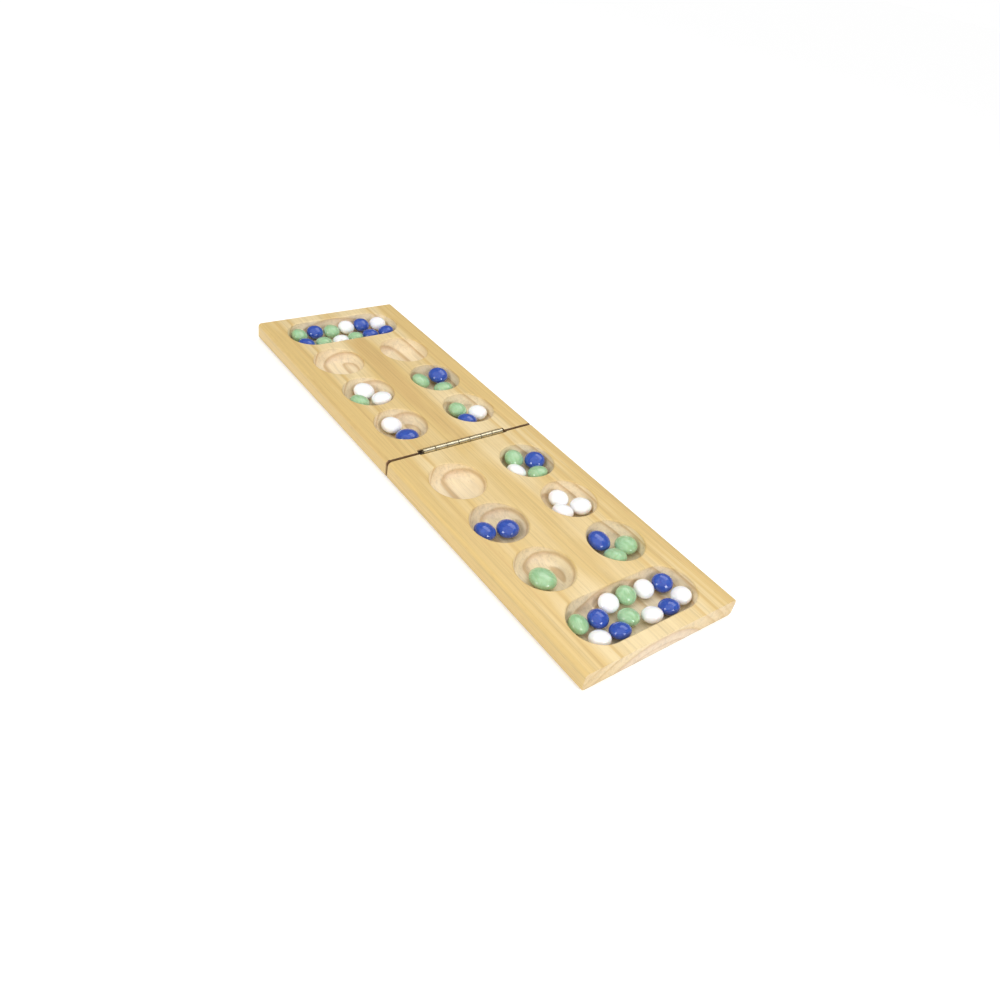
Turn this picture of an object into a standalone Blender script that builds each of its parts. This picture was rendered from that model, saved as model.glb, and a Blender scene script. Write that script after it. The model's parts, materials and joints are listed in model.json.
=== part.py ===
"""Folding mancala board: two pine halves on a brass hinge, with forty-eight glass pebbles.

+X runs along the board to the near store, +Z is up, and the origin lies on the
underside, below the middle of the seam.
"""
import math

import bmesh
import bpy
import numpy as np
from mathutils import Euler, Matrix, Vector

mm = 0.001

# Board: two halves that open flat end to end
board_length = 427 * mm
board_width = 129 * mm
board_thick = 14 * mm
seam_gap = 1.8 * mm
side_round = 2.5 * mm
edge_ease = 0.6 * mm

# Hollows: six pits and a long store in each half, all with the same section
pit_radius = 20.5 * mm
pits_in_row = 3
store_half_width = 19.6 * mm
store_length = 100 * mm
store_end = 9.6 * mm
hollow_depth = 11.5 * mm
hollow_cove = 12 * mm
rim_ease = 0.4 * mm
overrun = 1 * mm

# Plain wood left along a half, as shares from the hinge to its first pit and then
# between pits, and the outer side's share of what the two pit rows leave across it
along_wood_shares = (0.3823, 0.1924)
side_wood_share = 0.5702

# Hinge: a brass butt hinge let into the seam, its pin just above the top
pin_above_top = 0.35 * mm
hinge_length = 71 * mm
knuckle_count = 7
knuckle_gap = 0.3 * mm
barrel_radius = 1.8 * mm
bore_radius = 1.1 * mm
pin_radius = 0.8 * mm
pin_ease = 0.2 * mm
leaf_thick = 0.7 * mm
leaf_apart = 0.3 * mm
leaf_height = 8.4 * mm
leaf_seat_gap = 0.3 * mm
recess_end_gap = 3 * mm
leaf_below_barrel = 0.3 * mm
tab_inset = 0.3 * mm
groove_clearance = 0.4 * mm

# Screws: three countersunk ones in each leaf
screw_shares = (-0.36, 0, 0.36)
screw_head_radius = 1.7 * mm
screw_shank_radius = 0.8 * mm
screw_head_height = 0.9 * mm
screw_length = 7 * mm
screw_point = 1.2 * mm
screw_clearance = 0.45 * mm

# Pebbles: flattened glass drops, a little longer than wide
pebble_length = 16 * mm
pebble_width = 15.2 * mm
pebble_thick = 9.4 * mm
pebble_gap = 0.3 * mm
grid_steps = 90

# How finely round forms are divided, and when points count as one
hollow_steps = 28
cove_steps = 5
round_steps = 4
barrel_steps = 16
screw_steps = 12
pebble_rings = 12
pebble_bands = 7
same_point = 0.001 * mm

# Places that follow from the sizes above
half_length = (board_length - seam_gap) / 2
half_centre = (board_length + seam_gap) / 4
seam_face = seam_gap / 2
pit_wall = pit_radius - rim_ease
store_wall = store_half_width - rim_ease
store_straight = store_length - 2 * store_half_width
store_centre = board_length / 2 - store_end - store_half_width
groove_radius = barrel_radius + groove_clearance
along_wood = store_centre - store_half_width - groove_radius - 2 * pit_radius * pits_in_row
first_pit = groove_radius + along_wood_shares[0] * along_wood + pit_radius
pit_pitch = 2 * pit_radius + along_wood_shares[1] * along_wood
side_wood = side_wood_share * (board_width / 2 - 2 * pit_radius)
pit_row = board_width / 2 - side_wood - pit_radius
pin_height = board_thick + pin_above_top
leaf_inner = leaf_apart / 2
leaf_outer = leaf_inner + leaf_thick
leaf_top = pin_height - barrel_radius - leaf_below_barrel
leaf_bottom = leaf_top - leaf_height
recess_floor = leaf_outer + leaf_seat_gap
tab_top = pin_height - (barrel_radius + bore_radius) / 2
knuckle_pitch = hinge_length / knuckle_count

# Pebbles of each hollow from the lowest up: colour, place across and along as shares
# of the hollow's half width and half length, lean and its heading in degrees, size
pebble_shares = {
    "front_pit_2": [
        ("white", -0.46, 0.08, 13, 10, 1.1), ("white", 0.34, 0.4, 13, 215, 1.08),
        ("green", 0.2, -0.48, 12, 110, 1.02)],
    "front_pit_3": [
        ("white", -0.43, -0.12, 9, 10, 1.06), ("blue", 0.42, 0.04, 9, 190, 1.15)],
    "front_pit_5": [
        ("blue", -0.09, -0.46, 10, 80, 1.03), ("blue", 0.12, 0.33, 6, 250, 1.05)],
    "front_pit_6": [
        ("green", 0.12, -0.1, 3, 90, 1.22)],
    "back_pit_2": [
        ("green", 0.48, 0.14, 14, 197, 1.04), ("green", -0.26, -0.48, 15, 62, 1.04),
        ("blue", -0.37, 0.42, 16, -48, 1.04)],
    "back_pit_3": [
        ("green", -0.4, -0.2, 8, 25, 1.0), ("blue", 0.38, -0.28, 8, 150, 1.0),
        ("white", 0.06, 0.45, 8, -90, 1.0)],
    "back_pit_4": [
        ("white", 0.14, -0.53, 20, 105, 0.98), ("green", 0.53, 0.14, 20, 195, 1.0),
        ("blue", -0.14, 0.53, 20, -75, 1.0), ("green", -0.53, -0.14, 20, 15, 1.0)],
    "back_pit_5": [
        ("white", 0.26, -0.44, 10, 120, 1.0), ("white", -0.42, -0.06, 10, 15, 1.0),
        ("white", 0.28, 0.38, 8, 235, 1.05)],
    "back_pit_6": [
        ("green", 0.14, 0.44, 8, -110, 1.06), ("blue", -0.4, -0.32, 12, 40, 1.1),
        ("green", 0.42, -0.32, 14, 145, 1.02)],
    "near_store": [
        ("green", 0.19, -0.11, 6, 150, 0.92), ("blue", -0.22, -0.48, 8, 10, 0.92),
        ("white", 0.33, 0.77, 17, -120, 0.92), ("green", -0.3, -0.78, 17, 55, 0.92),
        ("blue", 0.5, 0.48, 16, 180, 0.92), ("white", 0.5, 0.18, 16, 180, 0.92),
        ("blue", 0.52, -0.38, 17, 180, 0.92), ("white", 0.46, -0.69, 17, 160, 0.92),
        ("green", -0.54, 0.1, 17, 0, 0.92), ("white", -0.54, -0.2, 17, 0, 0.92),
        ("blue", -0.42, 0.72, 16, -35, 0.92), ("white", -0.5, 0.41, 16, 0, 0.92)],
    "far_store": [
        ("blue", 0.36, -0.76, 17, 135, 0.92), ("green", -0.4, -0.75, 17, 40, 0.93),
        ("blue", -0.52, -0.44, 17, 0, 0.92), ("white", 0.51, -0.15, 17, 180, 0.92),
        ("green", 0.4, -0.45, 10, 175, 0.92), ("green", -0.44, -0.14, 12, 5, 0.92),
        ("white", -0.52, 0.16, 17, -5, 0.92), ("green", 0.42, 0.15, 12, 190, 0.92),
        ("blue", -0.52, 0.46, 17, 0, 0.92), ("blue", 0.38, 0.45, 10, 185, 0.92),
        ("white", -0.38, 0.76, 17, -45, 0.94), ("blue", 0.42, 0.75, 17, 215, 0.92)],
}


for old in list(bpy.data.objects):
    bpy.data.objects.remove(old)

board = bpy.data.collections.new("folding_mancala_board")
cutters = bpy.data.collections.new("cutters")
for group in (board, cutters):
    bpy.context.scene.collection.children.link(group)


def make_material(name, colour, roughness, metallic=0, coat=0):
    material = bpy.data.materials.new(name)
    material.use_nodes = True
    shader = material.node_tree.nodes["Principled BSDF"]
    shader.inputs["Base Color"].default_value = (*colour, 1)
    shader.inputs["Roughness"].default_value = roughness
    shader.inputs["Metallic"].default_value = metallic
    shader.inputs["Coat Weight"].default_value = coat
    return material


pine = make_material("varnished_pine", (0.76, 0.52, 0.25), 0.38, coat=0.3)
brass = make_material("brass", (0.72, 0.53, 0.22), 0.32, metallic=1)
glass = {
    "blue": make_material("blue_glass", (0.02, 0.07, 0.42), 0.06, coat=1),
    "green": make_material("green_glass", (0.42, 0.7, 0.52), 0.08, coat=1),
    "white": make_material("white_glass", (0.82, 0.83, 0.81), 0.1, coat=1),
}


def standing_place(obj):
    """Place in the part's frame of an empty whose parents are unturned."""
    return obj.location + (standing_place(obj.parent) if obj.parent else Vector())


def add_object(name, mesh, place=(0, 0, 0), turn=(0, 0, 0), parent=None, material=None, group=board):
    """Adds an object; its place is given in the part's frame, also under a parent."""
    obj = bpy.data.objects.new(name, mesh)
    group.objects.link(obj)
    if material:
        mesh.materials.append(material)
    obj.parent = parent
    obj.location = Vector(place) - (standing_place(parent) if parent else Vector())
    obj.rotation_euler = turn
    return obj


def add_cutter(name, mesh, place=(0, 0, 0), turn=(0, 0, 0)):
    cutter = add_object(name, mesh, place, turn, group=cutters)
    cutter.display_type = "WIRE"
    cutter.hide_render = True
    return cutter


def boolean(obj, other, operation="DIFFERENCE"):
    step = obj.modifiers.new(other.name, "BOOLEAN")
    step.operation = operation
    step.solver = "EXACT"
    step.object = other


def mesh_from(bm, name):
    """Mesh of a finished bmesh, shaded smooth across its shallow edges."""
    bmesh.ops.recalc_face_normals(bm, faces=bm.faces)
    mesh = bpy.data.meshes.new(name)
    bm.to_mesh(mesh)
    bm.free()
    mesh.shade_smooth()
    mesh.set_sharp_from_angle(angle=math.radians(35))
    return mesh


def box_mesh(name, low, high):
    """Box between two corners."""
    bm = bmesh.new()
    bmesh.ops.create_cube(bm, size=1)
    bmesh.ops.scale(bm, vec=high - low, verts=bm.verts)
    bmesh.ops.translate(bm, vec=(low + high) / 2, verts=bm.verts)
    return mesh_from(bm, name)


def turned_mesh(name, profile, steps, ring=False):
    """Turns (radius, height) points, listed down the outer side, about Z."""
    bm = bmesh.new()
    corners = [bm.verts.new((radius, 0, height)) for radius, height in profile]
    for upper, lower in zip(corners, corners[1:] + corners[:ring]):
        bm.edges.new((upper, lower))
    outline = bpy.data.meshes.new(name)
    bm.to_mesh(outline)
    bm.free()
    blank = bpy.data.objects.new(name, outline)
    cutters.objects.link(blank)
    screw = blank.modifiers.new("turn", "SCREW")
    screw.steps = screw.render_steps = steps
    screw.use_merge_vertices = True
    screw.merge_threshold = same_point
    graph = bpy.context.evaluated_depsgraph_get()
    turned = bpy.data.meshes.new_from_object(blank.evaluated_get(graph))
    bpy.data.objects.remove(blank)
    bm = bmesh.new()
    bm.from_mesh(turned)
    bmesh.ops.remove_doubles(bm, verts=bm.verts, dist=same_point)
    return mesh_from(bm, name)


def hollow_mesh(name, wall, straight):
    """A hollow's section turned about Z, then drawn apart along Y by its straight."""
    floor_radius = wall - hollow_cove
    last_turn = math.acos(1 - (hollow_depth - rim_ease) / hollow_cove)
    profile = [(0, overrun), (wall + rim_ease, overrun), (wall + rim_ease, 0)]
    for step in range(cove_steps, -1, -1):
        turn = last_turn * step / cove_steps
        profile.append((floor_radius + hollow_cove * math.sin(turn),
                        hollow_cove * (1 - math.cos(turn)) - hollow_depth))
    profile.append((0, -hollow_depth))
    mesh = turned_mesh(name, profile, hollow_steps)
    mesh.transform(Matrix.Rotation(math.pi / hollow_steps, 4, "Z"))
    for corner in mesh.vertices:
        if corner.co.xy.length > same_point:
            corner.co.y += math.copysign(straight / 2, corner.co.y)
    return mesh


def half_mesh(name):
    """Plank about the middle of its underside, rounded along its sides and eased elsewhere."""
    bm = bmesh.new()
    bmesh.ops.create_cube(bm, size=1)
    bmesh.ops.scale(bm, vec=(half_length, board_width, board_thick), verts=bm.verts)
    bmesh.ops.translate(bm, vec=(0, 0, board_thick / 2), verts=bm.verts)
    long_edges = [edge for edge in bm.edges
                  if edge.verts[0].co.x * edge.verts[1].co.x < 0]
    bmesh.ops.bevel(bm, geom=long_edges, affect="EDGES", offset=side_round,
                    segments=round_steps, profile=0.5, material=-1)
    corners = [edge for edge in bm.edges if edge.calc_face_angle() > math.radians(40)]
    bmesh.ops.bevel(bm, geom=corners, affect="EDGES", offset=edge_ease,
                    segments=2, profile=0.5, material=-1)
    return mesh_from(bm, name)


def leaf_mesh(name, side, knuckles):
    """Leaf as an outline seen along X, with a tab up into each of its knuckles."""
    end = hinge_length / 2
    outline = [(-end, leaf_bottom), (end, leaf_bottom), (end, leaf_top)]
    for place in reversed(knuckles):
        tab = (knuckle_pitch - knuckle_gap) / 2 - tab_inset
        outline += [(place + tab, leaf_top), (place + tab, tab_top),
                    (place - tab, tab_top), (place - tab, leaf_top)]
    outline.append((-end, leaf_top))
    bm = bmesh.new()
    face = bm.faces.new([bm.verts.new((side * leaf_inner, y, z)) for y, z in outline])
    front = bmesh.ops.extrude_face_region(bm, geom=[face])["geom"]
    bmesh.ops.translate(bm, vec=(side * leaf_thick, 0, 0),
                        verts=[part for part in front if isinstance(part, bmesh.types.BMVert)])
    return mesh_from(bm, name)


def screw_profile(grow, above):
    """Countersunk screw, its head's top at height 0; grown all round for its hole."""
    head, shank = screw_head_radius + grow, screw_shank_radius + grow
    mouth = [(head, above)] if above else []
    return [(0, above), *mouth, (head, 0), (shank, -screw_head_height),
            (shank, screw_point - screw_length), (0, -screw_length - grow)]


# Hollows by name: centre at the top of the board, wall and straight; front is -Y
hollows = {}
for number in range(1, 2 * pits_in_row + 1):
    side = 1 if number > pits_in_row else -1
    from_seam = number - pits_in_row - 1 if number > pits_in_row else pits_in_row - number
    along = side * (first_pit + pit_pitch * from_seam)
    for row, across in (("front", -pit_row), ("back", pit_row)):
        hollows[f"{row}_pit_{number}"] = (Vector((along, across, board_thick)), pit_wall, 0)
for name, side in (("far_store", -1), ("near_store", 1)):
    hollows[name] = (Vector((side * store_centre, 0, board_thick)), store_wall, store_straight)

pit_mesh = hollow_mesh("pit", pit_wall, 0)
store_mesh = hollow_mesh("store", store_wall, store_straight)
along_y = (math.pi / 2, 0, 0)
hinge_end = hinge_length / 2
recess_end = hinge_end + recess_end_gap
barrel_groove = add_cutter("barrel_groove", turned_mesh("barrel_groove", [
    (0, recess_end), (groove_radius, recess_end),
    (groove_radius, -recess_end), (0, -recess_end)],
    barrel_steps), (0, 0, pin_height), along_y)
knuckle_end = (knuckle_pitch - knuckle_gap) / 2
knuckle_mesh = turned_mesh("knuckle", [
    (barrel_radius, knuckle_end), (barrel_radius, -knuckle_end),
    (bore_radius, -knuckle_end), (bore_radius, knuckle_end)], barrel_steps, ring=True)

screw_mesh = turned_mesh("screw", screw_profile(0, 0), screw_steps)
hole_mesh = turned_mesh("hole", screw_profile(screw_clearance, overrun), screw_steps)

# The fold, an empty on the hinge pin that carries the whole far half
board_fold = add_object("board_fold", None, (0, 0, pin_height))
board_fold.empty_display_size = board_thick

for half, side, parent, first in (("near", 1, None, 0), ("far", -1, board_fold, 1)):
    plank = add_object(f"{half}_board_half", half_mesh(f"{half}_board_half"),
                       (side * half_centre, 0, 0), parent=parent, material=pine)
    for name, (centre, wall, straight) in hollows.items():
        if centre.x * side > 0:
            boolean(plank, add_cutter(f"{name}_cutter", store_mesh if straight else pit_mesh, centre))

    # Leaf with every other knuckle, seated in a shallow recess of the butt face
    places = [knuckle_pitch * (number - (knuckle_count - 1) / 2)
              for number in range(first, knuckle_count, 2)]
    leaf = add_object(f"{half}_hinge_leaf", leaf_mesh(f"{half}_hinge_leaf", side, places),
                      parent=parent, material=brass)
    for number, place in enumerate(places):
        knuckle = add_cutter(f"{half}_knuckle_{number + 1}", knuckle_mesh,
                             (0, place, pin_height), along_y)
        boolean(leaf, knuckle, "UNION")
    recess = box_mesh(f"{half}_leaf_recess",
                      Vector((-side * seam_face, -recess_end, leaf_bottom - leaf_seat_gap)),
                      Vector((side * recess_floor, recess_end, board_thick + overrun)))
    boolean(plank, add_cutter(f"{half}_leaf_recess", recess))
    boolean(plank, barrel_groove)

    # Screws through the leaf into the end grain, in holes with clearance
    into_wood = (0, -side * math.pi / 2, 0)
    for number, share in enumerate(screw_shares, 1):
        head = (side * leaf_inner, share * hinge_length, (leaf_top + leaf_bottom) / 2)
        add_object(f"{half}_leaf_screw_{number}", screw_mesh.copy(), head, into_wood, parent, brass)
        hole = add_cutter(f"{half}_screw_hole_{number}", hole_mesh, head, into_wood)
        boolean(plank, hole)
        boolean(leaf, hole)

pin_mesh = turned_mesh("hinge_pin", [
    (0, hinge_end), (pin_radius - pin_ease, hinge_end), (pin_radius, hinge_end - pin_ease),
    (pin_radius, pin_ease - hinge_end), (pin_radius - pin_ease, -hinge_end), (0, -hinge_end)],
    barrel_steps)
add_object("hinge_pin", pin_mesh, (0, 0, pin_height), along_y, material=brass)


def pebble_surfaces(form, across, along):
    """Lower and upper surface of a pebble about its centre; not a number beside it."""
    twice = 2 * form[2, 2]
    middle = 2 * (form[0, 2] * across + form[1, 2] * along)
    rest = (form[0, 0] * across ** 2 + 2 * form[0, 1] * across * along
            + form[1, 1] * along ** 2 - 1)
    inside = middle ** 2 - 2 * twice * rest
    root = np.sqrt(np.where(inside > 0, inside, np.nan))
    return (-middle - root) / twice, (-middle + root) / twice


def hollow_surface(wall, straight, across, along):
    """Height of a hollow's surface under the board's top; its walls count as very high."""
    distance = np.hypot(across, np.maximum(np.abs(along) - straight / 2, 0)) + pebble_gap
    run = np.clip(distance - wall + hollow_cove, 0, hollow_cove)
    cove = hollow_cove - np.sqrt(hollow_cove ** 2 - run ** 2) - hollow_depth
    return np.where(distance < wall, cove, board_thick)


def fill_hollow(name, parent):
    """Lets each pebble down until it meets the hollow or a pebble laid before it."""
    centre, wall, straight = hollows[name]
    handful = add_object(f"{name}_handful", None, centre, parent=parent)
    handful.empty_display_size = pebble_length
    laid = []
    for number, (colour, across, along, lean, heading, share) in enumerate(pebble_shares[name]):
        turn = (0, math.radians(lean), math.radians(heading))
        sizes = np.array((pebble_width * share, pebble_length * share, pebble_thick)) / 2
        frame = np.array(Euler(turn).to_matrix())
        form = frame @ np.diag(1 / sizes ** 2) @ frame.T
        x, y = across * wall, along * (wall + straight / 2)
        beside = np.linspace(-sizes.max(), sizes.max(), grid_steps)
        grid_x, grid_y = np.meshgrid(beside, beside)
        under = pebble_surfaces(form, grid_x, grid_y)[0]
        height = np.nanmax(hollow_surface(wall, straight, x + grid_x, y + grid_y) - under)
        for other_form, other_x, other_y, other_height in laid:
            over = pebble_surfaces(other_form, x + grid_x - other_x, y + grid_y - other_y)[1]
            lift = over + other_height - under
            if not np.isnan(lift).all():
                height = max(height, np.nanmax(lift))
        height += pebble_gap
        laid.append((form, x, y, height))
        bm = bmesh.new()
        bmesh.ops.create_uvsphere(bm, u_segments=pebble_rings, v_segments=pebble_bands, radius=1)
        bmesh.ops.scale(bm, vec=sizes, verts=bm.verts)
        pebble = f"{name}_pebble_{number + 1}"
        add_object(pebble, mesh_from(bm, pebble), centre + Vector((x, y, height)), turn,
                   parent=handful, material=glass[colour])


for name in pebble_shares:
    fill_hollow(name, board_fold if hollows[name][0].x < 0 else None)
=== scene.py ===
import json
import math

import bmesh
import bpy
import numpy as np
from mathutils import Euler, Matrix, Vector


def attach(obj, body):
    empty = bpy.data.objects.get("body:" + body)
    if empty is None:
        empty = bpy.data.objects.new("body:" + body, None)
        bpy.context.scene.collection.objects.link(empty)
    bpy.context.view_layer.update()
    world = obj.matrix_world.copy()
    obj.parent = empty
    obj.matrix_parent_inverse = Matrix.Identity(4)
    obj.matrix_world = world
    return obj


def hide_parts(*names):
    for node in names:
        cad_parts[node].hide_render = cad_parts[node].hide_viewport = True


# Folding mancala board: pine halves on a brass hinge, with glass pebbles in the hollows.
# Lengths are in millimetres here and are made metres by mm.

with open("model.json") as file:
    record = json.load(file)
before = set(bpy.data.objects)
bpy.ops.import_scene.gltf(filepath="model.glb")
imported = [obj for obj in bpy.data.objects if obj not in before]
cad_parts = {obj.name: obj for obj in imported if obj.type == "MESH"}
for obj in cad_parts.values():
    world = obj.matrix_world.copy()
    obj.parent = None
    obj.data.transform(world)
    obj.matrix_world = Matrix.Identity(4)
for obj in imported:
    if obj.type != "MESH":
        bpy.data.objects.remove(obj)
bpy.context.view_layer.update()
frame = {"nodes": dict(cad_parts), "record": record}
mm = 0.001
smoothAngle = math.radians(32)
flatWeight = 80   # how strongly large flat faces lead the shading
samePoint = 0.0005
overCut = 1.0   # how far a cutting shape runs past what it cuts
ontoY = Matrix.Rotation(math.pi / 2, 3, "X")   # lays a turned shape's axis along the hinge


def newObject(name, bm):
    bmesh.ops.scale(bm, vec=(mm, mm, mm), verts=bm.verts)
    bmesh.ops.recalc_face_normals(bm, faces=bm.faces)
    mesh = bpy.data.meshes.new(name)
    bm.to_mesh(mesh)
    bm.free()
    mesh.shade_smooth()
    mesh.set_sharp_from_angle(angle=smoothAngle)
    obj = bpy.data.objects.new(name, mesh)
    bpy.context.scene.collection.objects.link(obj)
    return obj


def boxShape(low, high):
    bm = bmesh.new()
    bmesh.ops.create_cube(bm, size=1)
    low, high = Vector(low), Vector(high)
    bmesh.ops.scale(bm, vec=high - low, verts=bm.verts)
    bmesh.ops.translate(bm, vec=(low + high) / 2, verts=bm.verts)
    return bm


def turnedShape(profile, steps, ring=False):
    # profile: (radius, height) points down the outer side, turned about Z
    bm = bmesh.new()
    corners = [bm.verts.new((radius, 0, height)) for radius, height in profile]
    lines = [bm.edges.new(pair) for pair in zip(corners, corners[1:] + corners[:ring])]
    bmesh.ops.spin(bm, geom=corners + lines, axis=(0, 0, 1), cent=(0, 0, 0),
                   angle=math.tau, steps=steps, use_merge=True)
    bmesh.ops.remove_doubles(bm, verts=bm.verts, dist=samePoint)
    return bm


def placed(bm, place, turn=None):
    if turn:
        bmesh.ops.rotate(bm, verts=bm.verts, cent=(0, 0, 0), matrix=turn)
    bmesh.ops.translate(bm, vec=place, verts=bm.verts)
    return bm


def cutAway(obj, tools, operation="DIFFERENCE", solver="EXACT"):
    # cuts or joins the tools, bakes the result and removes them
    for number, tool in enumerate(tools):
        step = obj.modifiers.new(f"cut{number}", "BOOLEAN")
        step.operation, step.solver, step.object = operation, solver, tool
    graph = bpy.context.evaluated_depsgraph_get()
    made = bpy.data.meshes.new_from_object(obj.evaluated_get(graph))
    obj.modifiers.clear()
    obj.data = made
    made.shade_smooth()
    made.set_sharp_from_angle(angle=smoothAngle)
    for tool in tools:
        bpy.data.objects.remove(tool)


def evenNormals(obj):
    step = obj.modifiers.new("evenNormals", "WEIGHTED_NORMAL")
    step.keep_sharp, step.weight = True, flatWeight


def dress(obj, material, body, node):
    obj.data.materials.clear()
    obj.data.materials.append(material)
    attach(obj, body)
    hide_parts(node)


# shader nodes and the groups that materials share


def newGroup(name, inputs, outputs):
    group = bpy.data.node_groups.new(name, "ShaderNodeTree")
    for socket, kind, value in inputs:
        made = group.interface.new_socket(socket, in_out="INPUT", socket_type=kind)
        if value is not None:
            made.default_value = value
    for socket, kind in outputs:
        group.interface.new_socket(socket, in_out="OUTPUT", socket_type=kind)
    return group, group.nodes.new("NodeGroupInput"), group.nodes.new("NodeGroupOutput")


def math2(tree, operation, first, second=None, third=None):
    node = tree.nodes.new("ShaderNodeMath")
    node.operation = operation
    for slot, value in enumerate((first, second, third)):
        if value is None:
            continue
        if hasattr(value, "is_output"):
            tree.links.new(value, node.inputs[slot])
        else:
            node.inputs[slot].default_value = value
    return node.outputs[0]


def noise(tree, vector, scale, detail=3, roughness=0.5, distortion=0):
    node = tree.nodes.new("ShaderNodeTexNoise")
    tree.links.new(vector, node.inputs["Vector"])
    for socket, value in (("Scale", scale), ("Detail", detail), ("Roughness", roughness),
                          ("Distortion", distortion)):
        if hasattr(value, "is_output"):
            tree.links.new(value, node.inputs[socket])
        else:
            node.inputs[socket].default_value = value
    return node.outputs["Fac"]


def stretched(tree, vector, scale, place=(0, 0, 0)):
    node = tree.nodes.new("ShaderNodeMapping")
    tree.links.new(vector, node.inputs["Vector"])
    node.inputs["Scale"].default_value = scale
    node.inputs["Location"].default_value = place
    return node.outputs[0]


def ramp(tree, value, stops):
    node = tree.nodes.new("ShaderNodeValToRGB")
    tree.links.new(value, node.inputs[0])
    elements = node.color_ramp.elements
    while len(elements) < len(stops):
        elements.new(0.5)
    for element, (spot, colour) in zip(elements, stops):
        element.position = spot
        element.color = (*colour, 1) if isinstance(colour, tuple) else (colour, colour, colour, 1)
    return node.outputs[0]


def mixColour(tree, factor, first, second, kind="MIX"):
    node = tree.nodes.new("ShaderNodeMix")
    node.data_type, node.blend_type = "RGBA", kind
    for socket, value in ((0, factor), (6, first), (7, second)):
        if hasattr(value, "is_output"):
            tree.links.new(value, node.inputs[socket])
        else:
            node.inputs[socket].default_value = (*value, 1) if isinstance(value, tuple) else value
    return node.outputs[2]


pineFigure = {
    # growth rings, as the radius in millimetres and how dark the wood is there
    "rings": [
        (40, 0.3), (44, 0.1), (47, 0.75), (47.8, 0.1), (51.5, 0.2), (53.4, 0.85), (54.1, 0.1),
        (58, 0.3), (60.7, 1), (61.6, 0.55), (62.8, 0.15), (66, 0.2), (69.5, 0.35), (71.9, 0.95),
        (72.7, 0.15), (75, 0.05), (77.5, 0.45), (79.3, 0.95), (80.1, 0.2), (82.2, 0.05),
        (83.6, 0.75), (84.3, 0.15), (85.4, 0.08), (87.2, 0.7), (88.8, 0.85), (89.6, 0.2),
        (93, 0.2), (96, 0.8), (97, 0.1), (104, 0.5),
    ],
    "span": (40, 104),
    "heart": [(60.3, 1), (61.2, 0)],   # inside this ring the end grain is paler
    # how often each pattern repeats in a metre, along the fibre, across it and up
    "sway": (4, 14, 14), "ripple": (16, 70, 70), "lines": (3, 420, 420),
    "fine": (22, 1100, 1100), "cloud": (9, 22, 22), "flecks": (110, 1500, 1500),
    "rippleShare": 0.35, "fineShare": 0.5, "ringHeight": 0.4,
    "fleckEdge": [(0.66, 0.0), (0.74, 1.0)],
}


def makeGrain():
    # growth rings round a heart that runs along X, with fibre the same way
    group, start, end = newGroup("pineGrain", [
        ("Vector", "NodeSocketVector", None), ("Heart Across", "NodeSocketFloat", -0.003),
        ("Heart Up", "NodeSocketFloat", -0.048), ("Wander", "NodeSocketFloat", 0.006),
        ("Shift", "NodeSocketFloat", 0)],
        [("Late Wood", "NodeSocketFloat"), ("Fibre", "NodeSocketFloat"), ("Cloud", "NodeSocketFloat"),
         ("Fleck", "NodeSocketFloat"), ("Inner", "NodeSocketFloat"), ("Height", "NodeSocketFloat")])
    split = group.nodes.new("ShaderNodeSeparateXYZ")
    group.links.new(start.outputs["Vector"], split.inputs[0])
    drift = group.nodes.new("ShaderNodeCombineXYZ")
    group.links.new(math2(group, "ADD", split.outputs[0], start.outputs["Shift"]), drift.inputs[0])
    group.links.new(split.outputs[1], drift.inputs[1])
    group.links.new(split.outputs[2], drift.inputs[2])
    shifted = drift.outputs[0]
    sway = noise(group, stretched(group, shifted, pineFigure["sway"]), 1, 1, 0.4)
    ripple = noise(group, stretched(group, shifted, pineFigure["ripple"], (3, 1, 2)), 1, 2, 0.5)
    across = math2(group, "SUBTRACT", split.outputs[1], start.outputs["Heart Across"])
    up = math2(group, "SUBTRACT", split.outputs[2], start.outputs["Heart Up"])
    radius = math2(group, "SQRT", math2(group, "ADD", math2(group, "MULTIPLY", across, across),
                                        math2(group, "MULTIPLY", up, up)))
    for value, share in ((sway, 1.0), (ripple, pineFigure["rippleShare"])):
        value = math2(group, "MULTIPLY", math2(group, "SUBTRACT", value, 0.5), start.outputs["Wander"])
        radius = math2(group, "MULTIPLY_ADD", value, share, radius)
    low, high = pineFigure["span"]
    spot = math2(group, "DIVIDE", math2(group, "SUBTRACT", radius, low * mm), (high - low) * mm)
    late = ramp(group, spot, [((mark - low) / (high - low), dark)
                              for mark, dark in pineFigure["rings"]])
    inner = ramp(group, spot, [((mark - low) / (high - low), paler)
                               for mark, paler in pineFigure["heart"]])
    # thin lines within the rings, as a plane cuts them
    lines = noise(group, stretched(group, shifted, pineFigure["lines"], (5, 2, 7)), 1, 2, 0.5)
    fine = noise(group, stretched(group, shifted, pineFigure["fine"]), 1, 3, 0.6)
    fibre = math2(group, "MULTIPLY_ADD", fine, pineFigure["fineShare"],
                  math2(group, "MULTIPLY", lines, 1 - pineFigure["fineShare"]))
    cloud = noise(group, stretched(group, shifted, pineFigure["cloud"], (4, 4, 1)), 1, 2, 0.5)
    fleck = noise(group, stretched(group, shifted, pineFigure["flecks"], (2, 8, 3)), 1, 1, 0.5)
    fleck = ramp(group, fleck, pineFigure["fleckEdge"])
    height = math2(group, "MULTIPLY_ADD", fibre, 1 - pineFigure["ringHeight"],
                   math2(group, "MULTIPLY", late, pineFigure["ringHeight"]))
    for name, value in (("Late Wood", late), ("Fibre", fibre), ("Cloud", cloud), ("Fleck", fleck),
                        ("Inner", inner), ("Height", height)):
        group.links.new(value, end.inputs[name])
    return group


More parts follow.
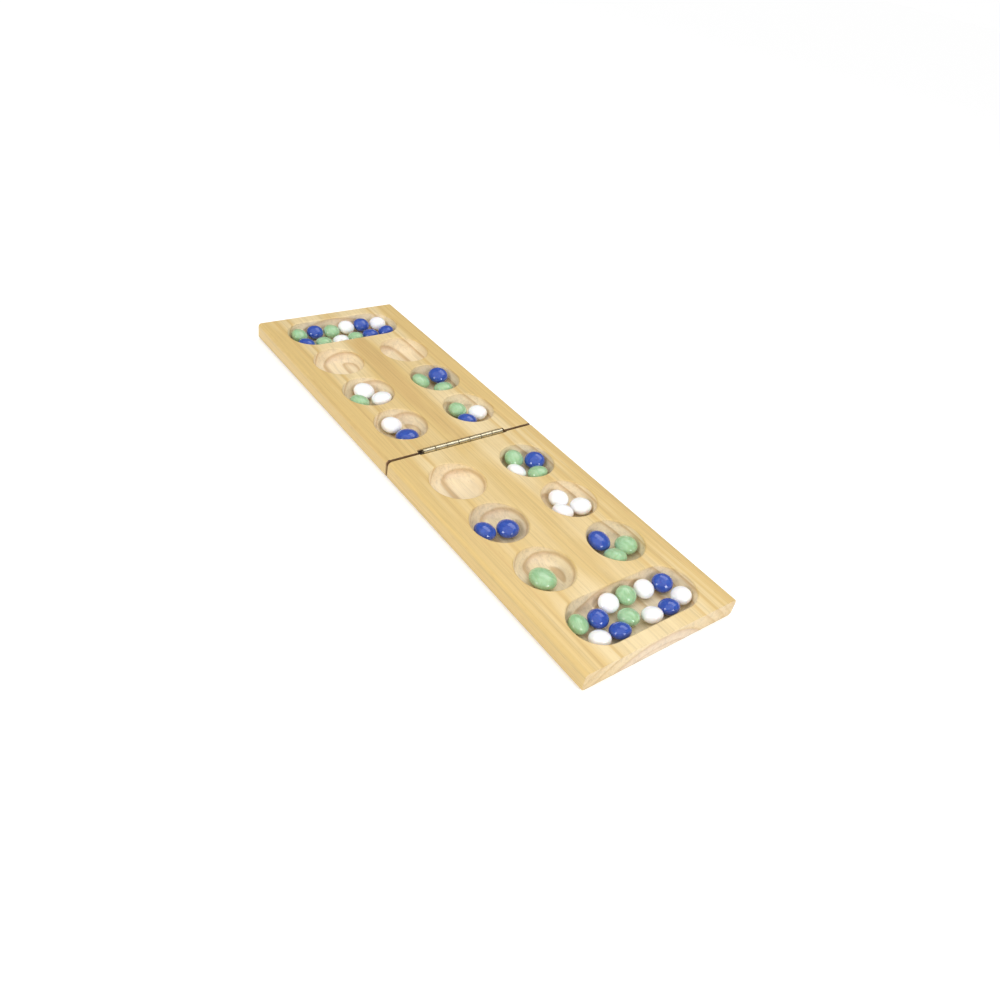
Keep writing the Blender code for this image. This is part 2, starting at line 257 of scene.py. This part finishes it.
def newMaterial(name, values):
    material = bpy.data.materials.new(name)
    material.use_nodes = True
    tree = material.node_tree
    shader = tree.nodes["Principled BSDF"]
    for socket, value in values.items():
        shader.inputs[socket].default_value = value
    place = tree.nodes.new("ShaderNodeTexCoord").outputs["Object"]
    return material, tree, shader, place


def addBump(tree, shader, height, strength, distance):
    bump = tree.nodes.new("ShaderNodeBump")
    bump.inputs["Strength"].default_value = strength
    bump.inputs["Distance"].default_value = distance
    tree.links.new(height, bump.inputs["Height"])
    tree.links.new(bump.outputs[0], shader.inputs["Normal"])


grain = makeGrain()
pineLooks = {
    "pale": (0.82, 0.66, 0.38), "golden": (0.69, 0.49, 0.19), "late": (0.60, 0.38, 0.14),
    "endPale": (0.82, 0.67, 0.49), "endLate": (0.6, 0.4, 0.22),
    "hollow": (0.87, 0.74, 0.52), "hollowLate": (0.56, 0.38, 0.2),
    # seam and recess are painted shade: dark brown on the seam's walls, near black in the hinge recess
    "seam": (0.24, 0.12, 0.055), "recess": (0.02, 0.012, 0.006), "fleck": (0.52, 0.31, 0.12),
    # how much late wood adds to the gold and to end grain, how much of the end grain's
    # colour needs the pale heart, and how strong the flecks are
    "lateGold": 0.9, "endLateShare": 0.75, "heartShare": 0.7, "fleckShare": 0.35,
    "roughness": 0.42, "varnish": 0.2, "varnishRoughness": 0.25, "bump": (0.2, 0.0002),
}
pineRamps = {
    # from the middle of the board to its long edges, and in clouds, the wood turns golden
    "edgeGold": [(0.55, 0.0), (0.92, 0.85)], "cloudGold": [(0.42, 0.0), (0.64, 0.65)],
    "lateTone": [(0.6, 0.0), (1, 0.55)], "hollowRings": [(0.35, 0.0), (0.85, 0.85)],
    "streaks": [(0.34, 0.84), (0.5, 1.0), (0.66, 1.07)], "gloss": [(0.3, 0.52), (0.7, 0.38)],
    # how strongly the corner marks show
    "inHollow": [(0.2, 0.0), (0.8, 0.8)], "onEnd": [(0.3, 0.0), (0.95, 0.95)],
    # how strongly the painted shade on the seam's walls and in the hinge recess shows
    "inSeamShade": [(0.25, 0.0), (0.3, 0.35), (0.47, 0.42), (0.54, 0.9)],
    "inRecessShade": [(0.75, 0.0), (0.95, 0.9)],
}


def makePine(name, shift, heartAcross, heartUp):
    material, tree, shader, place = newMaterial(name, {
        "Roughness": pineLooks["roughness"], "Coat Weight": pineLooks["varnish"],
        "Coat Roughness": pineLooks["varnishRoughness"]})
    rings = tree.nodes.new("ShaderNodeGroup")
    rings.node_tree = grain
    tree.links.new(place, rings.inputs["Vector"])
    for socket, value in (("Shift", shift), ("Heart Across", heartAcross), ("Heart Up", heartUp)):
        rings.inputs[socket].default_value = value
    late, fibre, cloud, fleck, inner = (rings.outputs[name] for name in
                                        ("Late Wood", "Fibre", "Cloud", "Fleck", "Inner"))

    def mark(attribute, stops):
        node = tree.nodes.new("ShaderNodeAttribute")
        node.attribute_name = attribute
        return ramp(tree, node.outputs["Fac"], pineRamps[stops])

    # gold gathers along the long edges, in clouds and in the late wood
    split = tree.nodes.new("ShaderNodeSeparateXYZ")
    tree.links.new(place, split.inputs[0])
    side = math2(tree, "MULTIPLY", math2(tree, "ABSOLUTE", split.outputs[1]),
                 1 / (plank["width"] / 2 * mm))
    gold = math2(tree, "ADD", ramp(tree, side, pineRamps["edgeGold"]),
                 ramp(tree, cloud, pineRamps["cloudGold"]))
    gold = math2(tree, "MULTIPLY_ADD", late, pineLooks["lateGold"], gold)
    base = mixColour(tree, math2(tree, "MINIMUM", gold, 1), pineLooks["pale"], pineLooks["golden"])
    base = mixColour(tree, ramp(tree, late, pineRamps["lateTone"]), base, pineLooks["late"])
    bowl = mixColour(tree, ramp(tree, late, pineRamps["hollowRings"]), pineLooks["hollow"],
                     pineLooks["hollowLate"])
    base = mixColour(tree, mark("hollow", "inHollow"), base, bowl)
    cut = mixColour(tree, math2(tree, "MULTIPLY", late, pineLooks["endLateShare"]),
                    pineLooks["endPale"], pineLooks["endLate"])
    ends = math2(tree, "MULTIPLY", mark("endGrain", "onEnd"),
                 math2(tree, "MULTIPLY_ADD", inner, pineLooks["heartShare"],
                       1 - pineLooks["heartShare"]))
    base = mixColour(tree, ends, base, cut)
    base = mixColour(tree, math2(tree, "MULTIPLY", fleck, pineLooks["fleckShare"]), base,
                     pineLooks["fleck"])
    base = mixColour(tree, 1.0, base, ramp(tree, fibre, pineRamps["streaks"]), "MULTIPLY")
    # painted shade: the seam's walls darken to brown and the hinge recess to near black
    base = mixColour(tree, mark("seam", "inSeamShade"), base, pineLooks["seam"])
    base = mixColour(tree, mark("seam", "inRecessShade"), base, pineLooks["recess"])
    tree.links.new(base, shader.inputs["Base Color"])
    tree.links.new(ramp(tree, fibre, pineRamps["gloss"]), shader.inputs["Roughness"])
    addBump(tree, shader, rings.outputs["Height"], *pineLooks["bump"])
    return material


brassLooks = {
    "bright": (0.93, 0.86, 0.66), "dull": (0.78, 0.66, 0.4), "roughness": 0.3,
    "patches": 500, "rubbed": (3000, 200, 3000),   # repeats in a metre
    "dulled": [(0.35, 0.0), (0.7, 1.0)], "gloss": [(0.3, 0.24), (0.7, 0.42)],
    "bump": (0.12, 0.00005),
}


def makeBrass():
    material, tree, shader, place = newMaterial(
        "agedBrass", {"Metallic": 1, "Roughness": brassLooks["roughness"]})
    dull = noise(tree, place, brassLooks["patches"], 4, 0.6)
    rub = noise(tree, stretched(tree, place, brassLooks["rubbed"]), 1, 2, 0.6)
    tone = mixColour(tree, ramp(tree, dull, brassLooks["dulled"]), brassLooks["bright"],
                     brassLooks["dull"])
    tree.links.new(tone, shader.inputs["Base Color"])
    tree.links.new(ramp(tree, rub, brassLooks["gloss"]), shader.inputs["Roughness"])
    addBump(tree, shader, rub, *brassLooks["bump"])
    return material


swirlReach = 0.018   # metres that the streaks are carried aside
swirlStretch, swirlScale = (1, 2.6, 0.7), 150


def makeSwirl():
    # milky streaks drawn out through poured glass
    group, start, end = newGroup("glassSwirl", [
        ("Vector", "NodeSocketVector", None), ("Scale", "NodeSocketFloat", 90)],
        [("Swirl", "NodeSocketFloat"), ("Depth", "NodeSocketFloat")])
    bend = group.nodes.new("ShaderNodeTexNoise")   # carries the streaks aside
    bend.inputs["Detail"].default_value = 1
    group.links.new(start.outputs["Vector"], bend.inputs["Vector"])
    group.links.new(start.outputs["Scale"], bend.inputs["Scale"])
    carry = group.nodes.new("ShaderNodeVectorMath")
    carry.operation = "MULTIPLY_ADD"
    group.links.new(bend.outputs["Color"], carry.inputs[0])
    carry.inputs[1].default_value = (swirlReach, swirlReach, swirlReach)
    group.links.new(start.outputs["Vector"], carry.inputs[2])
    streaks = noise(group, stretched(group, carry.outputs[0], swirlStretch), swirlScale,
                    3, 0.6, 0.6)
    group.links.new(streaks, end.inputs["Swirl"])
    depth = noise(group, start.outputs["Vector"], start.outputs["Scale"], 1, 0.4)
    group.links.new(depth, end.inputs["Depth"])
    return group


swirl = makeSwirl()
glassLooks = {
    "blue": {"deep": (0.028, 0.07, 0.38), "light": (0.05, 0.115, 0.48),
             "span": (0.3, 0.75), "rough": 0.12},
    "green": {"deep": (0.3, 0.52, 0.27), "light": (0.43, 0.64, 0.39),
              "span": (0.36, 0.72), "rough": 0.16},
    "white": {"deep": (0.92, 0.92, 0.92), "light": (0.95, 0.95, 0.95),
              "span": (0.3, 0.7), "rough": 0.18},
}
glassBody = {"Coat Weight": 0.6, "Coat Roughness": 0.04, "Subsurface Weight": 0.12,
             "Subsurface Scale": 0.002}
glassBump = (0.08, 0.0004)


def makeGlass(colour):
    looks = glassLooks[colour]
    material, tree, shader, place = newMaterial(
        f"{colour}Glass", {"Roughness": looks["rough"], **glassBody})
    streaks = tree.nodes.new("ShaderNodeGroup")
    streaks.node_tree = swirl
    tree.links.new(place, streaks.inputs["Vector"])
    low, high = looks["span"]
    tone = mixColour(tree, ramp(tree, streaks.outputs["Swirl"], [(low, 0.0), (high, 1.0)]),
                     looks["deep"], looks["light"])
    tree.links.new(tone, shader.inputs["Base Color"])
    addBump(tree, shader, streaks.outputs["Depth"], *glassBump)
    return material


brass = makeBrass()
glass = {colour: makeGlass(colour) for colour in glassLooks}
print("brass and glass made")


# sizes of the board and of the hinge that is let into it
plank = {
    "length": 427, "width": 129, "thick": 14, "seam": 1.8,
    "sideRound": 3, "ease": 0.6, "roundSteps": 10, "easeSteps": 3,
}
hollow = {
    "depth": 11.5, "rimEase": 1.3, "wallIn": 0.6, "rimSteps": 8, "bendSteps": 14,
    "turnSteps": 128, "dish": 0.5, "dishSteps": 5,
    # how far in and down the wall's foot, the turn of its bend and the floor's edge lie
    "foot": (1.9, 6.8), "turn": (3.1, 10.7), "floorEdge": 7,
    "middle": 0.01,   # corners nearer the axis than this stay on it
    "pitRadius": 20.5, "pitPitch": 48.6, "firstPit": 37.8, "pitRow": 30.6, "pitsInRow": 3,
    "storeHalfWidth": 19.6, "storeLength": 100, "storeEnd": 9.6,
}
hinge = {
    "pinAbove": 0.35, "length": 71, "endGap": 3, "knuckles": 7, "gap": 0.55,
    "barrel": 1.8, "bore": 1.1, "pin": 0.8, "leafThick": 0.7, "leafApart": 0.3,
    "leafHeight": 8.4, "seatGap": 0.3, "underBarrel": 0.3, "steps": 40, "ease": 0.12,
    "groove": {"near": 0.4, "far": 2.2}, "pinEase": 0.2, "easeSteps": 2,
    # how far a knuckle's tab lies inside the leaf, ends short of the knuckle and reaches down
    "tabInset": 0.01, "tabShort": 0.1, "tabDown": 0.5,
}
screws = {
    "along": (-0.36, 0, 0.36), "head": 1.7, "shank": 0.8, "headHeight": 0.9, "length": 7,
    "point": 1.2, "slotWidth": 0.45, "slotDepth": 0.35, "slotReach": 1.2, "firstTurn": 0.5,
    "clearance": 0.45, "steps": 32,
}
# places that follow from the sizes
pinHeight = plank["thick"] + hinge["pinAbove"]
leafInner = hinge["leafApart"] / 2
leafTop = pinHeight - hinge["barrel"] - hinge["underBarrel"]
leafBottom = leafTop - hinge["leafHeight"]
recessFloor = leafInner + hinge["leafThick"] + hinge["seatGap"]
knucklePitch = hinge["length"] / hinge["knuckles"]
screwHeight = (leafTop + leafBottom) / 2

pine = {"near": makePine("nearPine", 0.0, -0.003, -0.048),
        "far": makePine("farPine", 0.7, -0.001, -0.047)}
print("pine made")


def hollowTool(name, centre, halfWidth, straight):
    wall = halfWidth - hollow["wallIn"]
    ease, depth, edge = hollow["rimEase"], hollow["depth"], hollow["floorEdge"]
    foot, bend = hollow["foot"], hollow["turn"]
    profile = [(0, overCut), (wall + ease, overCut)]
    for step in range(hollow["rimSteps"] + 1):
        turn = math.pi / 2 * step / hollow["rimSteps"]
        profile.append((wall + ease - ease * math.sin(turn), -ease * (1 - math.cos(turn))))
    for step in range(hollow["bendSteps"] + 1):
        part = step / hollow["bendSteps"]
        shares = ((1 - part) ** 2, 2 * part * (1 - part), part ** 2)
        inward = sum(share * x for share, x in zip(shares, (foot[0], bend[0], edge)))
        down = sum(share * x for share, x in zip(shares, (foot[1], bend[1], depth - hollow["dish"])))
        profile.append((wall - inward, -down))
    for step in range(hollow["dishSteps"] - 1, -1, -1):
        part = step / hollow["dishSteps"]
        profile.append(((wall - edge) * part, hollow["dish"] * part ** 2 - depth))
    bm = turnedShape(profile, hollow["turnSteps"])
    bmesh.ops.rotate(bm, verts=bm.verts, cent=(0, 0, 0),
                     matrix=Matrix.Rotation(math.pi / hollow["turnSteps"], 3, "Z"))
    for corner in bm.verts:
        if straight and corner.co.xy.length > hollow["middle"]:
            corner.co.y += math.copysign(straight / 2, corner.co.y)
    return newObject(name, placed(bm, centre))


def screwShape(grow, above):
    head, shank = screws["head"] + grow, screws["shank"] + grow
    mouth = [(head, above)] if above else []
    return turnedShape([(0, above), *mouth, (head, 0), (shank, -screws["headHeight"]),
                        (shank, screws["point"] - screws["length"]),
                        (0, -screws["length"] - grow)], screws["steps"])


def makeHalf(name, side):
    start, end = side * plank["seam"] / 2, side * plank["length"] / 2
    half = plank["width"] / 2
    bm = boxShape((min(start, end), -half, 0), (max(start, end), half, plank["thick"]))
    longEdges = [edge for edge in bm.edges
                 if abs(edge.verts[0].co.x - edge.verts[1].co.x) > plank["width"] / 2]
    bmesh.ops.bevel(bm, geom=longEdges, affect="EDGES", offset=plank["sideRound"],
                    segments=plank["roundSteps"], profile=0.5, material=-1)
    corners = [edge for edge in bm.edges if edge.calc_face_angle() > math.radians(40)]
    bmesh.ops.bevel(bm, geom=corners, affect="EDGES", offset=plank["ease"],
                    segments=plank["easeSteps"], profile=0.5, material=-1)
    obj = newObject(f"{name}PineHalf", bm)
    tools = []
    for place in range(hollow["pitsInRow"]):
        for row in (-1, 1):
            along = side * (hollow["firstPit"] + hollow["pitPitch"] * place)
            tools.append(hollowTool("pitTool", (along, row * hollow["pitRow"], plank["thick"]),
                                    hollow["pitRadius"], 0))
    along = side * (plank["length"] / 2 - hollow["storeEnd"] - hollow["storeHalfWidth"])
    tools.append(hollowTool("storeTool", (along, 0, plank["thick"]), hollow["storeHalfWidth"],
                            hollow["storeLength"] - 2 * hollow["storeHalfWidth"]))
    reach = hinge["length"] / 2 + hinge["endGap"]
    tools.append(newObject("recessTool", boxShape(
        (min(-side, side * recessFloor), -reach, leafBottom - hinge["seatGap"]),
        (max(-side, side * recessFloor), reach, plank["thick"] + overCut))))
    groove = hinge["barrel"] + hinge["groove"][name]
    tools.append(newObject("grooveTool", placed(
        turnedShape([(0, reach), (groove, reach), (groove, -reach), (0, -reach)], hinge["steps"]),
        (0, 0, pinHeight), ontoY)))
    for share in screws["along"]:
        tools.append(newObject("holeTool", placed(
            screwShape(screws["clearance"], overCut),
            (side * leafInner, share * hinge["length"], screwHeight),
            Matrix.Rotation(-side * math.pi / 2, 3, "Y"))))
    cutAway(obj, tools)
    markFaces(obj.data)
    evenNormals(obj)
    dress(obj, pine[name], f"{name}_half", f"{name}_board_half")


marking = {
    # how far from the seam's middle its faces reach, and where its flat walls end
    "seamReach": 3.8, "wallReach": 1.05,
    # depths below the top: of what still counts as the top, of the seam's rim in full painted shade,
    # and where a hollow has its full colour
    "topSkin": 0.02, "rimDown": 0.7, "fadeDown": 2.5,
    # margins at the ends, the seam and the long sides that are never in a hollow
    "endMargin": 1.5, "seamMargin": 3, "sideMargin": 0.5,
    "shadeBelow": 0.3, "shadeRise": 0.3,   # painted shade of the seam's walls, growing towards the top
}


def markFaces(mesh):
    # corner marks: how far each looks along the fibre, what is in a hollow, and how much painted shade
    # the seam and the hinge recess get
    thick = plank["thick"] * mm
    top = (plank["thick"] - marking["topSkin"]) * mm
    reach = (hinge["length"] / 2 + hinge["endGap"]) * mm
    marks = {"endGrain": [], "hollow": [], "seam": []}
    for face in mesh.polygons:
        x, y, z = face.center
        # seam faces below the top, which take painted shade
        inSeamShade = abs(x) < marking["seamReach"] * mm and z < top and face.normal.z < 0.95
        onEdge = (abs(x) > (plank["length"] / 2 - marking["endMargin"]) * mm
                  or abs(x) < marking["seamMargin"] * mm
                  or abs(y) > (plank["width"] / 2 - plank["sideRound"] - marking["sideMargin"]) * mm)
        inHollow = z < top and face.normal.z > -0.5 and not onEdge
        # sunk faces, in the hinge recess and along the seam's rim, take the near-black painted shade
        sunk = (abs(x) > marking["wallReach"] * mm
                and (abs(y) < reach or z > top - marking["rimDown"] * mm))
        for corner in face.vertices:
            point, normal = mesh.vertices[corner].co, mesh.vertices[corner].normal
            if normal.angle(face.normal) > smoothAngle / 2:
                normal = face.normal
            marks["endGrain"].append(abs(normal.x))
            marks["hollow"].append(inHollow * min((thick - point.z) / (marking["fadeDown"] * mm), 1.0))
            wallShade = marking["shadeBelow"] + marking["shadeRise"] * point.z / thick
            marks["seam"].append(inSeamShade * (1.0 if sunk else wallShade))
    for name, values in marks.items():
        mesh.attributes.new(name, "FLOAT", "CORNER").data.foreach_set("value", values)


for name, side in (("near", 1), ("far", -1)):
    makeHalf(name, side)
print("board halves made")


def makeLeaf(name, side, first):
    # made as a near leaf, and turned about Z to be the far one
    end = hinge["length"] / 2
    outer = leafInner + hinge["leafThick"]
    bm = boxShape((leafInner, -end, leafBottom), (outer, end, leafTop))
    bmesh.ops.bevel(bm, geom=list(bm.edges), affect="EDGES", offset=hinge["ease"],
                    segments=hinge["easeSteps"], profile=0.5, material=-1)
    leaf = newObject(f"{name}HingeLeaf", bm)
    cutAway(leaf, [newObject("holeTool", placed(
        screwShape(screws["clearance"], overCut), (leafInner, share * hinge["length"], screwHeight),
        Matrix.Rotation(-math.pi / 2, 3, "Y"))) for share in screws["along"]],
            solver="MANIFOLD")
    halfKnuckle = (knucklePitch - hinge["gap"]) / 2
    halfTab = halfKnuckle - hinge["tabShort"]
    barrel, bore, cut = hinge["barrel"], hinge["bore"], hinge["ease"]
    joined = []
    for number in range(first, hinge["knuckles"], 2):
        spot = knucklePitch * (number - (hinge["knuckles"] - 1) / 2)
        joined.append(newObject("tab", boxShape(
            (leafInner + hinge["tabInset"], spot - halfTab, leafTop - hinge["tabDown"]),
            (outer - hinge["tabInset"], spot + halfTab, pinHeight - (barrel + bore) / 2))))
        joined.append(newObject("knuckle", placed(turnedShape(
            [(barrel - cut, halfKnuckle), (barrel, halfKnuckle - cut), (barrel, cut - halfKnuckle),
             (barrel - cut, -halfKnuckle), (bore, -halfKnuckle), (bore, halfKnuckle)],
            hinge["steps"], ring=True), (0, spot, pinHeight), ontoY)))
    cutAway(leaf, joined, "UNION", solver="MANIFOLD")
    leaf.data.transform(Matrix.Rotation(0 if side > 0 else math.pi, 4, "Z"))
    evenNormals(leaf)
    dress(leaf, brass, f"{name}_half", f"{name}_hinge_leaf")


def makeScrew(name, side, number, share):
    screw = newObject(f"{name}Screw{number}", screwShape(0, 0))
    slot = newObject("slotTool", boxShape(
        (-screws["slotWidth"] / 2, -screws["head"] * screws["slotReach"], -screws["slotDepth"]),
        (screws["slotWidth"] / 2, screws["head"] * screws["slotReach"], overCut)))
    cutAway(screw, [slot])
    # each screw is driven to a turn of its own
    turn = (Matrix.Rotation(-side * math.pi / 2, 4, "Y")
            @ Matrix.Rotation(screws["firstTurn"] + number, 4, "Z"))
    screw.data.transform(Matrix.Translation(
        Vector((side * leafInner, share * hinge["length"], screwHeight)) * mm) @ turn)
    dress(screw, brass, f"{name}_half", f"{name}_leaf_screw_{number}")


for name, side, first in (("near", 1, 0), ("far", -1, 1)):
    makeLeaf(name, side, first)
    for number, share in enumerate(screws["along"], 1):
        makeScrew(name, side, number, share)
end, pinEase = hinge["length"] / 2, hinge["pinEase"]
pin = newObject("hingePin", placed(turnedShape(
    [(0, end), (hinge["pin"] - pinEase, end), (hinge["pin"], end - pinEase),
     (hinge["pin"], pinEase - end), (hinge["pin"] - pinEase, -end), (0, -end)],
    hinge["steps"]), (0, 0, pinHeight), ontoY))
dress(pin, brass, "near_half", "hinge_pin")
print("hinge made")


pebbles = {
    "rings": 40, "bands": 24, "within": 0.996,   # a little smaller than the solid it stands for
    "lumps": 0.02, "waves": (2.1, 2.3, 1.7), "waveCount": 3,
}


def pebbleFrame(node):
    # middle, axes and half sizes of a pebble's solid, from how its corners spread
    points = np.array([corner.co for corner in node.data.vertices])
    middle = (points.min(0) + points.max(0)) / 2
    spread, axes = np.linalg.eigh(np.cov((points - middle).T))
    if np.linalg.det(axes) < 0:
        axes[:, 0] *= -1
    sizes = np.abs((points - middle) @ axes).max(0)
    return Vector(middle), Matrix(axes.tolist()), sizes


def makePebble(name, node, body, colour, seed):
    middle, axes, sizes = pebbleFrame(node)
    phases = np.random.default_rng(seed).uniform(0, math.tau, (pebbles["waveCount"], 3))
    waves = pebbles["waves"]
    bm = bmesh.new()
    bmesh.ops.create_uvsphere(bm, u_segments=pebbles["rings"], v_segments=pebbles["bands"], radius=1)
    bmesh.ops.rotate(bm, verts=bm.verts, cent=(0, 0, 0), matrix=Matrix.Rotation(math.pi / 2, 3, "Y"))
    for corner in bm.verts:
        x, y, z = corner.co
        lump = sum(math.sin(waves[0] * x * (wave + 1) + phase[0]) * math.sin(waves[1] * y + phase[1])
                   * math.cos(waves[2] * z + phase[2]) for wave, phase in enumerate(phases))
        lump /= pebbles["waveCount"]
        corner.co *= pebbles["within"] - pebbles["lumps"] * abs(lump)
    bmesh.ops.scale(bm, vec=sizes / mm, verts=bm.verts)
    bmesh.ops.rotate(bm, verts=bm.verts, cent=(0, 0, 0), matrix=axes)
    bmesh.ops.translate(bm, vec=middle / mm, verts=bm.verts)
    obj = newObject(name, bm)
    dress(obj, glass[colour], body, node.name)


slots = {part["node"]: part["material_slot"] for part in frame["record"]["subparts"]}
for number, (node, slotName) in enumerate(sorted(slots.items())):
    if "_pebble_" in node:
        words = node.split("_pebble_")
        makePebble(f"{words[0]}_stone_{words[1]}", frame["nodes"][node], f"{words[0]}_handful",
                   slotName.split("_")[0], number)
print("pebbles made")


# floor, light and camera
view = {
    "place": (392.3, -326.23, 353.98), "azimuth": 46.311, "elevation": 37.159,
    "roll": 11.993, "lens": 29.985, "sensor": 36, "clipStart": 10,
}
lamps = [
    # name, place, aimed at, size, watts
    ("windowLeft", (110, -1000, 480), (0, 0, 0), (270, 370), 3.2),
    ("windowRight", (1060, 40, 500), (0, 0, 0), (270, 370), 3.2),
    ("backLight", (-250, 850, 1250), (0, 0, 0), (1300, 700), 5),
]
skyLight = {"place": (250, -380, 1500), "strength": 0.75, "spread": 80}
floorLooks = {"reach": 6000, "below": 0.05, "colour": (0.8, 0.8, 0.8, 1), "roughness": 0.9,
              "glow": 0.33}
roomLight = {"plain": 0.6, "glossy": 0.14, "seen": 1}   # strengths, by the kind of ray


def aimed(obj, place, target):
    obj.location = Vector(place) * mm
    obj.rotation_euler = (Vector(target) - Vector(place)).to_track_quat("-Z", "Y").to_euler()
    bpy.context.scene.collection.objects.link(obj)


def addLamp(name, place, target, size, watts):
    lamp = bpy.data.lights.new(name, "AREA")
    lamp.shape, lamp.energy = "RECTANGLE", watts
    lamp.size, lamp.size_y = size[0] * mm, size[1] * mm
    aimed(bpy.data.objects.new(name, lamp), place, target)


sky = bpy.data.lights.new("skyLight", "SUN")
sky.energy, sky.angle = skyLight["strength"], math.radians(skyLight["spread"])
aimed(bpy.data.objects.new("skyLight", sky), skyLight["place"], (0, 0, 0))
for lamp in lamps:
    addLamp(*lamp)

bm = bmesh.new()
bmesh.ops.create_grid(bm, x_segments=1, y_segments=1, size=floorLooks["reach"])
bmesh.ops.translate(bm, vec=(0, 0, -floorLooks["below"]), verts=bm.verts)
floor = newObject("floor", bm)
material, tree, shader, place = newMaterial("paleFloor", {
    "Base Color": floorLooks["colour"], "Roughness": floorLooks["roughness"],
    "Specular IOR Level": 0})
path = tree.nodes.new("ShaderNodeLightPath")
seen = math2(tree, "MAXIMUM", path.outputs["Is Camera Ray"],
             math2(tree, "MAXIMUM", path.outputs["Is Glossy Ray"], path.outputs["Is Transmission Ray"]))
glow = tree.nodes.new("ShaderNodeEmission")
tree.links.new(math2(tree, "MULTIPLY", seen, floorLooks["glow"]), glow.inputs["Strength"])
both = tree.nodes.new("ShaderNodeAddShader")
tree.links.new(shader.outputs[0], both.inputs[0])
tree.links.new(glow.outputs[0], both.inputs[1])
tree.links.new(both.outputs[0], tree.nodes["Material Output"].inputs["Surface"])
floor.data.materials.append(material)

world = bpy.data.worlds.new("plainRoom")
world.use_nodes = True
bpy.context.scene.world = world
tree = world.node_tree
back = tree.nodes["Background"]
path = tree.nodes.new("ShaderNodeLightPath")
direct = math2(tree, "MAXIMUM", path.outputs["Is Camera Ray"], path.outputs["Is Transmission Ray"])
dim = math2(tree, "MULTIPLY_ADD", path.outputs["Is Glossy Ray"],
            roomLight["glossy"] - roomLight["plain"], roomLight["plain"])
strength = math2(tree, "MULTIPLY_ADD", direct, roomLight["seen"] - roomLight["plain"], dim)
tree.links.new(strength, back.inputs["Strength"])
back.inputs["Color"].default_value = (1, 1, 1, 1)

camera = bpy.data.objects.new("photoCamera", bpy.data.cameras.new("photoCamera"))
camera.data.lens, camera.data.sensor_width = view["lens"], view["sensor"]
camera.data.clip_start = view["clipStart"] * mm
tilt = Euler((math.radians(90 - view["elevation"]), 0, math.radians(view["azimuth"]))).to_matrix()
camera.matrix_world = Matrix.Translation(Vector(view["place"]) * mm) @ (
    tilt @ Matrix.Rotation(math.radians(view["roll"]), 3, "Z")).to_4x4()
bpy.context.scene.collection.objects.link(camera)
bpy.context.scene.camera = camera
bpy.context.scene.view_settings.view_transform = "Standard"
print("floor, light and camera made")
